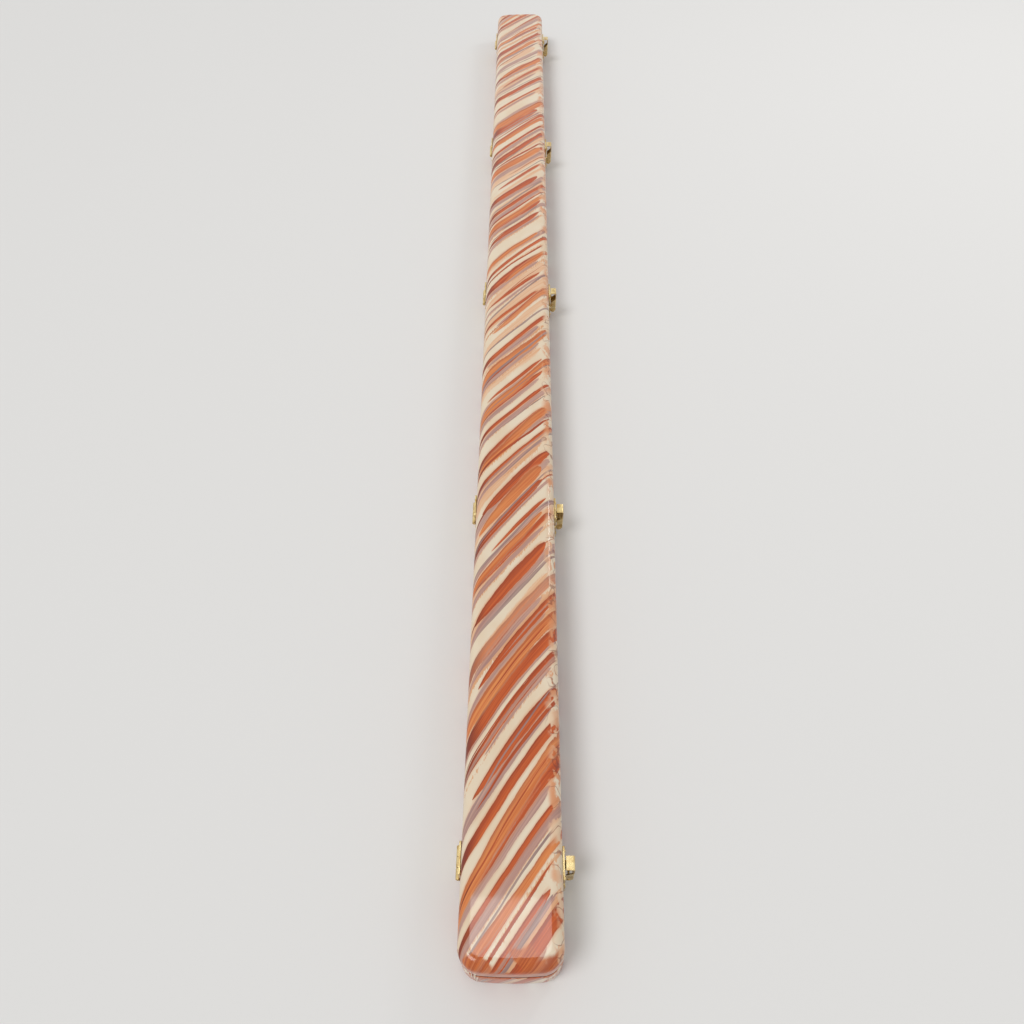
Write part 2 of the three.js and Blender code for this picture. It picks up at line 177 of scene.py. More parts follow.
def ring_body(name, rings, capped, material, body, nodes):
    """A body drawn as rings around the case. Each ring is (inset, height, wrapped), where wrapped is how far the
    covering has run down from the edge of the flat top. capped closes the first and the last ring, and otherwise
    the last ring joins the first. The unrolled place of each point is kept for the pattern, with 1 as its third
    number on the band by the seam that is painted dark as shade."""
    bm = bmesh.new()
    unrolled = bm.verts.layers.float_vector.new("unrolled")
    rows = []
    for inset, height, wrapped in rings:
        row = []
        for point, normal in OUTLINE:
            p = point - inset * normal
            v = bm.verts.new((p.x, p.y, height))
            u = point - (LID_EDGE - wrapped) * normal
            v[unrolled] = (u.x, u.y, 1 if abs(height - SEAM) < SEAM_SHADE_BAND else 0)
            row.append(v)
        rows.append(row)
    count = len(OUTLINE)
    pairs = list(zip(rows, rows[1:])) + ([] if capped else [(rows[-1], rows[0])])
    for a, b in pairs:
        for i in range(count):
            j = (i + 1) % count
            bm.faces.new((a[i], a[j], b[j], b[i]))
    if capped:
        bm.faces.new(rows[0])
        bm.faces.new(rows[-1])
    return add_object(name, bm, material, body, nodes, weighted=False)


def prism(bm, outline, low, high, place, bevel=0.0, segments=2):
    """A prism between low and high along one axis. place turns (a, b, t) into a point. Its edges are bevelled."""
    part = bmesh.new()
    lower = [part.verts.new(place(a, b, low)) for a, b in outline]
    upper = [part.verts.new(place(a, b, high)) for a, b in outline]
    count = len(outline)
    for i in range(count):
        j = (i + 1) % count
        part.faces.new((lower[i], lower[j], upper[j], upper[i]))
    part.faces.new(lower)
    part.faces.new(upper)
    bmesh.ops.recalc_face_normals(part, faces=part.faces)
    if bevel:
        sharp = [e for e in part.edges if e.calc_face_angle(0) > math.radians(35)]
        bmesh.ops.bevel(
            part, geom=sharp, offset=bevel, segments=segments, profile=0.5, affect="EDGES", clamp_overlap=True
        )
    merge(bm, part)


def merge(bm, part):
    """Adds a bmesh to another and frees it."""
    mesh = bpy.data.meshes.new("part")
    part.to_mesh(mesh)
    part.free()
    bm.from_mesh(mesh)
    bpy.data.meshes.remove(mesh)


def turned(bm, profile, place, sides=24):
    """A body turned about an axis. profile is (radius, along) from axis to axis. place turns (a, b, t) into a point."""
    part = bmesh.new()
    rows = []
    for radius, along in profile:
        if radius < 1e-6:
            rows.append([part.verts.new(place(0, 0, along))])
        else:
            ring = arc((0, 0), radius, 0, 360 - 360 / sides, sides - 1)
            rows.append([part.verts.new(place(a, b, along)) for a, b in ring])
    for a, b in zip(rows, rows[1:]):
        for i in range(sides):
            j = (i + 1) % sides
            if len(a) == 1:
                part.faces.new((a[0], b[i], b[j]))
            elif len(b) == 1:
                part.faces.new((a[i], a[j], b[0]))
            else:
                part.faces.new((a[i], a[j], b[j], b[i]))
    if len(rows[0]) > 1:  # a tube: the last ring joins the first
        for i in range(sides):
            j = (i + 1) % sides
            part.faces.new((rows[-1][i], rows[-1][j], rows[0][j], rows[0][i]))
    bmesh.ops.recalc_face_normals(part, faces=part.faces)
    merge(bm, part)


def along_y(centre_x=0.0, centre_z=0.0):
    """Draws in X and Z, and runs along Y."""
    return lambda a, b, t: (centre_x + a, t, centre_z + b)


def along_x(y, z):
    """Draws in Y and Z about a point, and runs along X."""
    return lambda a, b, t: (t, y + a, z + b)


# ------------------------------------------------------------------ node helper


class Term:
    """A shader value that can be used in arithmetic."""

    def __init__(self, graph, socket):
        self.graph, self.socket = graph, socket

    def _with(self, op, a, b):
        return self.graph.math(op, a, b)

    def __add__(self, other):
        return self._with("ADD", self, other)

    def __radd__(self, other):
        return self._with("ADD", other, self)

    def __sub__(self, other):
        return self._with("SUBTRACT", self, other)

    def __rsub__(self, other):
        return self._with("SUBTRACT", other, self)

    def __mul__(self, other):
        return self._with("MULTIPLY", self, other)

    def __rmul__(self, other):
        return self._with("MULTIPLY", other, self)

    def __truediv__(self, other):
        return self._with("DIVIDE", self, other)


class Graph:
    """Builds one material's nodes from short expressions."""

    def __init__(self, name):
        self.material = bpy.data.materials.new(name)
        self.material.use_nodes = True
        self.tree = self.material.node_tree
        self.tree.nodes.clear()
        self.shader = self.node("ShaderNodeBsdfPrincipled")
        output = self.node("ShaderNodeOutputMaterial")
        self.tree.links.new(self.shader.outputs[0], output.inputs[0])

    def node(self, kind, values=None, **settings):
        made = self.tree.nodes.new(kind)
        for key, value in settings.items():
            setattr(made, key, value)
        for key, value in (values or {}).items():
            self.set(made.inputs[key], value)
        return made

    def set(self, socket, value):
        if isinstance(value, Term):
            self.tree.links.new(value.socket, socket)
        else:
            socket.default_value = value

    def math(self, op, *values):
        made = self.node("ShaderNodeMath", operation=op)
        for socket, value in zip(made.inputs, values):
            self.set(socket, value)
        return Term(self, made.outputs[0])

    def smooth(self, value, low, high):
        """0 below low, 1 above high, smooth between them."""
        made = self.node("ShaderNodeMapRange", interpolation_type="SMOOTHSTEP")
        for socket, v in zip(made.inputs, (value, low, high)):
            self.set(socket, v)
        return Term(self, made.outputs[0])

    def ramp(self, value, low, high):
        """0 below low, 1 above high, straight between them."""
        made = self.node("ShaderNodeMapRange")
        for socket, v in zip(made.inputs, (value, low, high)):
            self.set(socket, v)
        return Term(self, made.outputs[0])

    def vector(self, x, y=0.0, z=0.0):
        made = self.node("ShaderNodeCombineXYZ")
        for socket, v in zip(made.inputs, (x, y, z)):
            self.set(socket, v)
        return Term(self, made.outputs[0])

    def split(self, vector):
        made = self.node("ShaderNodeSeparateXYZ", {0: vector})
        return [Term(self, s) for s in made.outputs]

    def noise(self, vector, scale=1.0, detail=2.0, roughness=0.5):
        values = {"Vector": vector, "Scale": scale, "Detail": detail, "Roughness": roughness}
        return Term(self, self.node("ShaderNodeTexNoise", values).outputs[0])

    def random(self, vector):
        """Three numbers from 0 to 1 that change with each whole value of vector."""
        made = self.node("ShaderNodeTexWhiteNoise", {"Vector": vector}, noise_dimensions="3D")
        return self.split(Term(self, made.outputs["Color"]))

    def mix(self, amount, low, high):
        made = self.node("ShaderNodeMix", {"Factor": amount}, data_type="RGBA")
        for socket, v in zip((made.inputs[6], made.inputs[7]), (low, high)):
            self.set(socket, v)
        return Term(self, made.outputs[2])

    def bump(self, height, strength, distance, normal=None):
        values = {"Height": height, "Strength": strength, "Distance": distance}
        if normal is not None:
            values["Normal"] = normal
        return Term(self, self.node("ShaderNodeBump", values).outputs[0])

    def position(self):
        """The piece's own coordinates in millimetres."""
        place = Term(self, self.node("ShaderNodeTexCoord").outputs["Object"])
        scaled = self.node("ShaderNodeVectorMath", {0: place, "Scale": 1 / MM}, operation="SCALE")
        return Term(self, scaled.outputs[0])

    def finish(self, **values):
        for key, value in values.items():
            self.set(self.shader.inputs[key.replace("_", " ")], value)
        return self.material


def colour(code):
    """A #rrggbb colour as the linear values that a shader takes."""
    parts = [int(code[i : i + 2], 16) / 255 for i in (1, 3, 5)]
    return (*[c / 12.92 if c <= 0.04045 else ((c + 0.055) / 1.055) ** 2.4 for c in parts], 1)


# ------------------------------------------------------------------ materials


class Strokes:
    """Slanting brush strokes in bands that run along the case. The sheet is painted in bands about 100 mm wide:
    band 0 is the lid's top, and its neighbours come round the sides."""

    BAND = 100.0

    def __init__(self, g, x, y):
        self.g = g
        torn = g.noise(g.vector(x * 0.05, y * 0.045, 21.0), 1.0, 3.0, 0.6) - 0.5
        self.band = g.math("FLOOR", (x - 5.0 + 14 * torn) / self.BAND + 0.5)
        self.x = x - self.band * self.BAND
        self.near = g.smooth(0 - y, 60.0, 620.0)
        wander = g.noise(g.vector(x * 0.010, y * 0.005, 0.0), 1.0, 1.0) - 0.5
        fine = g.noise(g.vector(x * 0.05, y * 0.03, 4.0), 1.0, 2.0) - 0.5
        slope = 1.12 + 0.36 * self.near + 0.45 * wander
        hook = g.math("MAXIMUM", 0 - self.x - 24, 0.0)
        drop = g.math("MAXIMUM", self.x - 28, 0.0)
        lean = self.x * slope - self.x * self.x * 0.0030 - hook * hook * 0.014 - drop * drop * 0.020
        straight = y - lean + 12 * wander + 1.6 * fine + self.band * 37.0
        crowd = g.noise(g.vector(straight * 0.011, self.band * 5.0, 6.0), 1.0, 1.0) - 0.5
        self.across = straight + 34 * crowd
        swell = g.noise(g.vector(straight * 0.007, self.band * 5.0, 9.0), 1.0, 1.0) - 0.5
        self.fullness = 1.06 + 0.34 * self.near + 0.7 * swell

    def layer(self, period, seed, kind, width, keep, shift=0.0, ragged=0.0, soft=0.7, reach=26.0, blunt=8.0):
        """One stroke in each row of period mm. kind changes its width and ends but keeps its place, so that two
        layers with the same seed lie side by side, shift mm apart. Returns how much the paint covers, its bristle
        streaks, the place across the stroke, -1 to 1, and the thinned paint round it."""
        g, x = self.g, self.x
        tag = self.band * 17.0 + seed
        row = (self.across + shift) / period + seed * 7.31
        cell = g.math("FLOOR", row)
        part = row - cell - 0.5
        place, tilt, _ = g.random(g.vector(cell, tag, 0.5))
        size, keep_r, blunt_r = g.random(g.vector(cell, tag, kind + 1.5))
        start_r, end_r, _ = g.random(g.vector(cell, tag, kind + 5.5))
        start = g.math("POWER", start_r, 3.0) * 52 - 64
        end = g.math("POWER", end_r, 1.5) * 34 + reach
        wobble = g.noise(g.vector(x * 0.022, cell * 3.7 + seed, kind), 1.0, 1.0) - 0.5
        uneven = g.noise(g.vector(x * 0.07, self.across * 0.06, seed + kind), 1.0, 3.0, 0.6)
        centre = (place - 0.5) * 0.30 + (tilt - 0.5) * x * 0.005 + wobble * 0.16
        left = g.ramp(x, start, start + 46)
        right = g.ramp(end - x, 0.0, blunt + 9 * blunt_r)
        shape = g.math("SQRT", left * (2 - left)) * g.math("SQRT", right * (2 - right))
        low, high = width
        half = (low + (high - low) * size) * self.fullness * (0.72 + 0.56 * uneven) * shape
        offset = part - centre
        inside = (half - g.math("ABSOLUTE", offset)) * period
        streak = g.noise(g.vector(x * 0.016, self.across * 0.38, seed + 3), 1.0, 3.0, 0.6)
        if ragged:
            tooth = g.noise(g.vector(x * 0.95, self.across * 0.14, seed), 1.0, 2.0, 0.6)
            inside = inside - ragged * (tooth - 0.3) * 2
        dry = g.smooth(x, start + 40, end) * (streak - 0.45) * 5
        kept = g.smooth(keep - keep_r, -0.01, 0.01)
        cover = g.smooth(inside - dry, 0.0, soft) * kept
        halo = g.smooth(inside - dry, -3.4, 0.4) * kept * g.math("SQRT", shape)
        return cover, streak, offset / g.math("MAXIMUM", half, 0.02), halo


def vinyl_material():
    g = Graph("vinyl_brushed")
    unrolled = Term(g, g.node("ShaderNodeAttribute", attribute_name="unrolled").outputs["Vector"])
    x, y, rim = g.split(unrolled)
    strokes = Strokes(g, x, y)
    burn = g.smooth(0 - strokes.x, 22.0, 38.0)

    mottle = g.noise(g.vector(x * 0.03, y * 0.02, 7.0), 1.0, 3.0)
    paint = g.mix(g.smooth(mottle, 0.35, 0.7), colour("#E3D3BA"), colour("#DFC8AA"))

    def lay(paint, layer, tones, strength, rim=0.0, rim_tone="#94401F"):
        cover, streak, side, _ = layer
        dark, light = tones
        tone = g.mix(g.smooth(streak, 0.26, 0.70), colour(dark), colour(light))
        if rim:
            edge = g.smooth(g.math("ABSOLUTE", side + 0.25), 0.45, 1.05)
            tone = g.mix(edge * rim, tone, colour(rim_tone))
        return g.mix(cover * strength, paint, tone)

    wash = strokes.layer(37.0, 1.0, 0.0, (0.14, 0.34), 0.78, ragged=2.6, soft=3.2)
    paint = lay(paint, wash, ("#D99C6E", "#E2B893"), 0.8)
    comb = strokes.layer(31.0, 2.0, 40.0, (0.08, 0.24), 0.66, shift=13.0, ragged=7.0, soft=0.8)
    paint = lay(paint, comb, ("#CC8550", "#DDA97E"), 0.85)
    mauve = strokes.layer(31.0, 2.0, 20.0, (0.08, 0.18), 0.84, shift=9.5, ragged=0.6)
    paint = g.mix(mauve[3] * 0.4, paint, colour("#CFA184"))
    paint = lay(paint, mauve, ("#98706B", "#BE9486"), 0.9)
    rust = strokes.layer(31.0, 2.0, 0.0, (0.09, 0.23), 0.94, ragged=0.35)
    paint = g.mix(rust[3] * 0.5, paint, colour("#D08A5C"))
    rust_paint = lay(paint, rust, ("#A63E10", "#C95F26"), 1.0, 0.7, "#8C3412")
    paint = g.mix(rust[0] * burn * 0.85, rust_paint, colour("#6E2513"))
    core = strokes.layer(31.0, 2.0, 60.0, (0.03, 0.11), 0.34, shift=2.5, ragged=0.9, soft=1.4)
    paint = lay(paint, core, ("#A27A6C", "#BE9480"), 0.8)
    orange = strokes.layer(67.0, 4.0, 0.0, (0.05, 0.12), 0.66, ragged=0.5)
    paint = g.mix(orange[3] * 0.4, paint, colour("#DCA478"))
    paint = lay(paint, orange, ("#C05A22", "#DC8848"), 0.95, 0.5)
    thin = strokes.layer(43.0, 5.0, 0.0, (0.02, 0.055), 0.72, soft=0.5, reach=20.0)
    thin_paint = lay(paint, thin, ("#963A18", "#B6501F"), 1.0)
    paint = g.mix(thin[0] * burn * 0.8, thin_paint, colour("#5E2215"))
    grey = strokes.layer(53.0, 6.0, 0.0, (0.02, 0.055), 0.66, soft=0.6)
    paint = lay(paint, grey, ("#80615E", "#A88A80"), 0.9)

    # Where one band meets the next, the wet ends are smeared into each other.
    drift = g.noise(g.vector(x * 0.05, y * 0.035, 13.0), 1.0, 2.0) - 0.5
    seam_x = strokes.x + 16 * drift
    meeting = g.smooth(seam_x, 28.0, 35.0) * (1 - g.smooth(seam_x, 46.0, 56.0))
    blot = g.noise(g.vector(x * 0.085, y * 0.055, 17.0), 1.0, 3.0, 0.55)
    blot_tone = g.mix(g.smooth(mottle, 0.42, 0.6), colour("#D58C5C"), colour("#E3C5A4"))
    paint = g.mix(meeting * g.smooth(blot, 0.47, 0.53) * 0.9, paint, blot_tone)
    line = g.noise(g.vector(x * 0.05, y * 0.05, 23.0), 1.0, 1.5, 0.5)
    crack = 1 - g.smooth(g.math("ABSOLUTE", line - 0.5), 0.004, 0.016)
    paint = g.mix(meeting * crack * 0.6, paint, colour("#7A3020"))

    # The folded ends carry broad patches.
    reach = g.math("ABSOLUTE", y) + 50 * drift
    patch = g.noise(g.vector(x * 0.036, y * 0.036, 31.0), 1.0, 2.0, 0.5)
    end_zone = g.smooth(reach, 744.0, 752.0)
    patch_tone = g.mix(g.smooth(rust[1], 0.34, 0.6), colour("#A2410F"), colour("#C4682E"))
    paint = g.mix(end_zone * g.smooth(patch, 0.47, 0.53) * 0.9, paint, patch_tone)

    # Painted shade: the band by the seam is painted near black to stand for the shadow in the seam's gap, and it is
    # rougher there.
    seam_shade = g.smooth(rim, 0.3, 0.7)
    paint = g.mix(seam_shade, paint, colour("#21150F"))

    smear = g.noise(g.vector(x * 0.02, y * 0.02, 19.0), 1.0, 4.0)
    pull = g.noise(g.vector(x * 0.35, y * 0.12, 5.0), 1.0, 2.0)
    gather = g.smooth(g.math("ABSOLUTE", x), 30.0, 42.0) * pull
    relief = g.bump(gather, 0.2, 0.0007)
    relief = g.bump(g.noise(g.vector(x * 0.05, y * 0.02, 1.0), 1.0, 2.0), 0.2, 0.0012, relief)
    relief = g.bump(g.noise(g.vector(x * 1.6, y * 1.6, 1.0), 1.0, 2.0), 0.06, 0.00025, relief)
    return g.finish(
        Base_Color=paint,
        Roughness=0.26 + 0.14 * smear + 0.2 * seam_shade,
        Specular_IOR_Level=0.12,
        Coat_Weight=0.55,
        Coat_Roughness=0.05,
        Coat_IOR=1.5,
        Normal=relief,
    )


def brass_material():
    g = Graph("brass_polished")
    p = g.position()
    cloud = g.noise(p, 0.16, 4.0, 0.6)
    scratch = g.noise(p, 2.4, 2.0)
    tone = g.mix(g.smooth(cloud, 0.35, 0.72), colour("#E3CD96"), colour("#B7945A"))
    tone = g.mix(g.smooth(scratch, 0.62, 0.8) * 0.35, tone, colour("#8A6C3E"))
    return g.finish(
        Base_Color=tone,
        Metallic=1.0,
        Roughness=0.16 + 0.2 * cloud + 0.06 * scratch,
        Normal=g.bump(cloud * 0.6 + scratch * 0.1, 0.12, 0.0004),
    )


def pin_material():
    g = Graph("brass_pin")
    p = g.position()
    cloud = g.noise(p, 0.5, 3.0)
    tone = g.mix(cloud, colour("#B4935A"), colour("#DCC48C"))
    return g.finish(Base_Color=tone, Metallic=1.0, Roughness=0.22 + 0.2 * cloud, Normal=g.bump(cloud, 0.1, 0.0002))


def plush_material(name, deep, pale):
    g = Graph(name)
    p = g.position()
    nap = g.noise(p, 0.05, 3.0, 0.6)
    pile = g.noise(p, 2.6, 3.0, 0.7)
    tone = g.mix(g.smooth(nap + 0.35 * (pile - 0.5), 0.32, 0.70), colour(deep), colour(pale))
    return g.finish(
        Base_Color=tone,
        Roughness=0.9 + 0.08 * pile,
        Sheen_Weight=0.5,
        Sheen_Roughness=0.45,
        Sheen_Tint=colour("#C98A8A"),
        Normal=g.bump(pile + 0.5 * nap, 0.7, 0.0007),
    )


def wood_material():
    g = Graph("wood_core")
    p = g.position()
    x, y, z = g.split(p)
    rings = g.noise(g.vector(x * 0.25, y * 0.012, z * 0.25), 1.0, 4.0, 0.6)
    pores = g.noise(g.vector(x * 3.0, y * 0.15, z * 3.0), 1.0, 2.0)
    tone = g.mix(g.smooth(rings, 0.35, 0.65), colour("#B98A58"), colour("#D9B483"))
    tone = g.mix(g.smooth(pores, 0.58, 0.75) * 0.5, tone, colour("#7E5630"))
    return g.finish(Base_Color=tone, Roughness=0.55 + 0.2 * pores, Normal=g.bump(pores, 0.3, 0.0003))


def leatherette_material():
    g = Graph("leatherette_bottom")
    p = g.position()
    cells = g.node("ShaderNodeTexVoronoi", {"Vector": p, "Scale": 0.9}, feature="DISTANCE_TO_EDGE")
    crease = g.smooth(Term(g, cells.outputs["Distance"]), 0.0, 0.22)
    cloud = g.noise(p, 0.04, 3.0)
    # Painted shade: the tone darkens into the creases of the grain.
    tone = g.mix(crease, colour("#17110F"), colour("#33281F"))
    tone = g.mix(g.smooth(cloud, 0.5, 0.8) * 0.4, tone, colour("#463830"))
    return g.finish(Base_Color=tone, Roughness=0.5 + 0.15 * cloud, Normal=g.bump(crease, 0.45, 0.0005))


vinyl = vinyl_material()
brass = brass_material()
pin_brass = pin_material()
plush = plush_material("plush_lining", "#4A0F16", "#7A222A")
foam_plush = plush_material("plush_cradle", "#55141A", "#8A2E34")
wood = wood_material()
leatherette = leatherette_material()

# ------------------------------------------------------------------ the covered shells


def lid_cover_rings():
    """The lid's covering: over the top and down the side, in over the rim, and back up inside the shell."""
    side = TOP - LID_EDGE
    quarter = LID_EDGE * math.pi / 2
    rings = [(LID_EDGE + 1.0, TOP, -1.0), (LID_EDGE + 0.4, TOP, -0.4)]
    for i in range(11):
        a = math.radians(9 * i)
        rings.append((LID_EDGE * (1 - math.sin(a)), side + LID_EDGE * math.cos(a), LID_EDGE * a))
    rings.append((0, side - 1, quarter + 1))
    rings.append((0, (side + LID_RIM) / 2, quarter + (side - LID_RIM) / 2))
    rings += rim_rings(LID_RIM, 1, quarter + side - LID_RIM)
    inner_top = TOP - COVER
    rings.append((COVER, inner_top - LID_EDGE + COVER, HIDDEN_RUN))
    for i in range(1, 5):
        a = math.radians(22.5 * i)
        r = LID_EDGE - COVER
        rings.append((COVER + r * (1 - math.cos(a)), inner_top - r + r * math.sin(a), HIDDEN_RUN))
    return rings


def rim_rings(rim, up, wrapped, fold=1):
    """The covering as it turns in over the rim, from the outer face to its inner side. up is 1 on the lid."""
    rings = []
    for i in range(5):
        a = math.radians(22.5 * i)
        inset = RIM_EDGE * (1 - math.cos(a))
        rings.append((inset, rim + up * RIM_EDGE * (1 - math.sin(a)), wrapped + fold * RIM_EDGE * (a - 1)))
    inner = CAVITY_INSET
    r = TURN_IN_RADIUS
    rings.append((inner - r, rim, wrapped + fold * (inner - r)))
    for i in range(1, 4):
        a = math.radians(30 * i)
        rings.append((inner - r + r * math.sin(a), rim + up * r * (1 - math.cos(a)), wrapped + fold * inner))
    rings.append((inner, rim + up * COVER, wrapped + fold * (inner + 1)))
    rings.append((COVER, rim + up * COVER, wrapped + fold * (inner + 2)))
    return rings


def base_cover_rings():
    """The base's covering, from its border round the bottom sheet to the rim and back inside the shell."""
    lid_run = LID_EDGE * math.pi / 2 + TOP - LID_EDGE - LID_RIM
    side = BASE_FOOT + BASE_EDGE
    foot_run = lid_run + BASE_RIM - side
    flat_run = foot_run + BASE_EDGE * math.pi / 2
    rings = [
        (SHEET_BORDER, BASE_FOOT + 0.5, flat_run + 3),
        (SHEET_BORDER - 0.3, BASE_FOOT, flat_run + 2),
        (BASE_EDGE + 0.3, BASE_FOOT, flat_run + 0.3),
    ]
    for i in range(9):
        a = math.radians(90 - 11.25 * i)
        rings.append((BASE_EDGE * (1 - math.cos(a)), side - BASE_EDGE * math.sin(a), foot_run + BASE_EDGE * a))
    rings.append((0, (side + BASE_RIM) / 2, lid_run + (BASE_RIM - side) / 2))
    rings += rim_rings(BASE_RIM, -1, lid_run, -1)
    rings.append((COVER, BASE_FOOT + BASE_EDGE, HIDDEN_RUN))
    for i in range(1, 5):
        a = math.radians(22.5 * i)
        r = BASE_EDGE - COVER
        rings.append((COVER + r * (1 - math.cos(a)), BASE_FOOT + BASE_EDGE - r * math.sin(a), HIDDEN_RUN))
    rings.append((SHEET_BORDER, BASE_FOOT + COVER, HIDDEN_RUN))
    return rings


def tub_rings(outer, inner, back, floor, open_edge, up):
    """A lining as a tub. back is its outer face's height, floor its inner one, and up points to the open side."""
    r = 1.2
    rings = [(outer, back, 0)]
    lip = (inner - outer) / 2
    rings.append((outer, open_edge - up * lip, 0))
    for i in range(1, 6):
        a = math.radians(30 * i)
        rings.append((outer + lip * (1 - math.cos(a)), open_edge - up * lip * (1 - math.sin(a)), 0))
    rings.append((inner, open_edge - up * lip, 0))
    rings.append((inner, floor + up * r, 0))
    for i in range(1, 5):
        a = math.radians(22.5 * i)
        rings.append((inner + r * (1 - math.cos(a)), floor + up * r * (1 - math.sin(a)), 0))
    rings.append((inner + r + 1, floor, 0))
    return rings


def slab_rings(inset, low, high, r):
    """A flat sheet with its edges rounded by r."""
    return [
        (inset + r, low, 0),
        (inset + 0.3 * r, low + 0.3 * r, 0),
        (inset, low + r, 0),
        (inset, high - r, 0),
        (inset + 0.3 * r, high - 0.3 * r, 0),
        (inset + r, high, 0),
    ]


ring_body("lid_covering", lid_cover_rings(), True, vinyl, "lid", ["lid_cover"])
ring_body("base_covering", base_cover_rings(), False, vinyl, "base", ["base_cover"])
ring_body(
    "bottom_sheet",
    slab_rings(SHEET_INSET, sheet_low.z, sheet_high.z, SHEET_EDGE),
    True,
    leatherette,
    "base",
    ["base_bottom_sheet"],
)
for body, up in (("base", 1), ("lid", -1)):
    low, high = box_mm(body + "_lining")
    back, open_edge = (low.z, high.z) if up > 0 else (high.z, low.z)
    floor = back + up * LINING
    rings = tub_rings(LINING_INSET, LINING_INSET + LINING, back, floor, open_edge, up)
    ring_body(body + "_plush_lining", rings, True, plush, body, [body + "_lining"])

for name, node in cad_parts.items():
    if name.endswith("panel") or "_rail_" in name or "_end_block_" in name:
        node.data.materials.clear()
        node.data.materials.append(wood)

# ------------------------------------------------------------------ foam cradles and pads

LANE_DROP = 2.0
CUE_X, SPARE_X = -13.5, 17.0
CUE_RADII = (15.5, 13.0, 10.0, 7.5)
SPARE_RADIUS = 12.0
FOAM_EDGE = 1.1  # radius of a block's edges


def notched_outline(half_width, open_z, back_z, lanes):
    """A foam block's outline from wall to wall, with a round notch for each lane."""
    lane_z = SEAM - LANE_DROP
    points = [(-half_width, back_z), (-half_width, open_z)]
    for x, radius in lanes:
        angle = math.degrees(math.asin((open_z - lane_z) / radius))
        ends = (180 - angle, 360 + angle) if open_z > back_z else (180 - angle, angle)
        points += arc((x, lane_z), radius, *ends, 18)
    points += [(half_width, open_z), (half_width, back_z)]
    return points


for i in cradles:
    lanes = ((CUE_X, CUE_RADII[i - 1]), (SPARE_X, SPARE_RADIUS))
    for kind, body in (("cradle", "base"), ("hold_down_pad", "lid")):
        node = f"{kind}_{i}"
        low, high = box_mm(node)
        ends = (high.z, low.z) if kind == "cradle" else (low.z, high.z)
        bm = bmesh.new()
        prism(bm, notched_outline(high.x, *ends, lanes), low.y, high.y, along_y(), FOAM_EDGE, 4)
        piece = add_object(f"{kind}_{i}_plush", bm, foam_plush, body, [node])

# ------------------------------------------------------------------ brass fittings


def plate_outline(low, high, half, r=1.5):
    """A rounded rectangle, half to each side of 0 and from low to high."""
    points = arc((half - r, low + r), r, -90, 0, 5) + arc((half - r, high - r), r, 0, 90, 5)
    return points + arc((r - half, high - r), r, 90, 180, 5) + arc((r - half, low + r), r, 180, 270, 5)


def plate(bm, side, y, low, high, half):
    """A brass plate against the side wall, side being 1 on the right and -1 on the left."""
    near = side * (HALF_WIDTH + PLATE_GAP)
    far = near + side * PLATE
    prism(bm, plate_outline(low, high, half), near, far, along_x(y, 0), PLATE_BEVEL)


def nails(bm, side, y, z, half):
    """The two domed nails of a plate that reaches half to each side of y."""
    sunk = side * (PLATE_FACE - NAIL_SINK)
    profile = [(0, sunk), (NAIL_RADIUS, sunk)]
    for i in range(7):
        a = math.radians(15 * i)
        radius = NAIL_RADIUS * math.cos(a) if i < 6 else 0
        profile.append((radius, side * (PLATE_FACE + NAIL_HEIGHT * math.sin(a))))
    for at in (y - half + NAIL_INSET, y + half - NAIL_INSET):
        turned(bm, profile, along_x(at, z))


def tube(bm, x, z, inner, outer, low, high, chamfer=0.25):
    """A knuckle: a tube along Y with its outer edges eased."""
    profile = [
        (inner, low),
        (outer - chamfer, low),
        (outer - 0.3 * chamfer, low + 0.3 * chamfer),
        (outer, low + chamfer),
        (outer, high - chamfer),
        (outer - 0.3 * chamfer, high - 0.3 * chamfer),
        (outer - chamfer, high),
        (inner, high),
    ]
    turned(bm, profile, along_y(x, z), 32)


def headed_pin(name, node, body):
    """A pin with a domed head at each end, in the place of its node."""
    low, high = box_mm(node)
    x, z = (low.x + high.x) / 2, (low.z + high.z) / 2
    head = (high.x - low.x) / 2
    profile = [(0, low.y)]
    for i in range(1, 7):
        a = math.radians(15 * i)
        profile.append((head * math.sin(a), low.y + PIN_HEAD * (1 - math.cos(a))))
    profile += [(PIN_SHANK, low.y + PIN_HEAD), (PIN_SHANK, high.y - PIN_HEAD)]
    for i in range(6, 0, -1):
        a = math.radians(15 * i)
        profile.append((head * math.sin(a), high.y - PIN_HEAD * (1 - math.cos(a))))
    profile.append((0, high.y))
    bm = bmesh.new()
    turned(bm, profile, along_y(x, z), 24)
    add_object(name, bm, pin_brass, body, [node])


KNUCKLE, KNUCKLE_BORE, KNUCKLE_GAP = 2.2, 1.0, 0.4
MIDDLE_KNUCKLE = 4.0  # half the length of the lid's knuckle
LEAF_CLEARANCE = 0.6  # from the barrel to a leaf's plate
LEAF_DEPTH = 12.0
WEB_START, WEB_OVERLAP = 0.2, 0.6  # the web joins a knuckle to its leaf


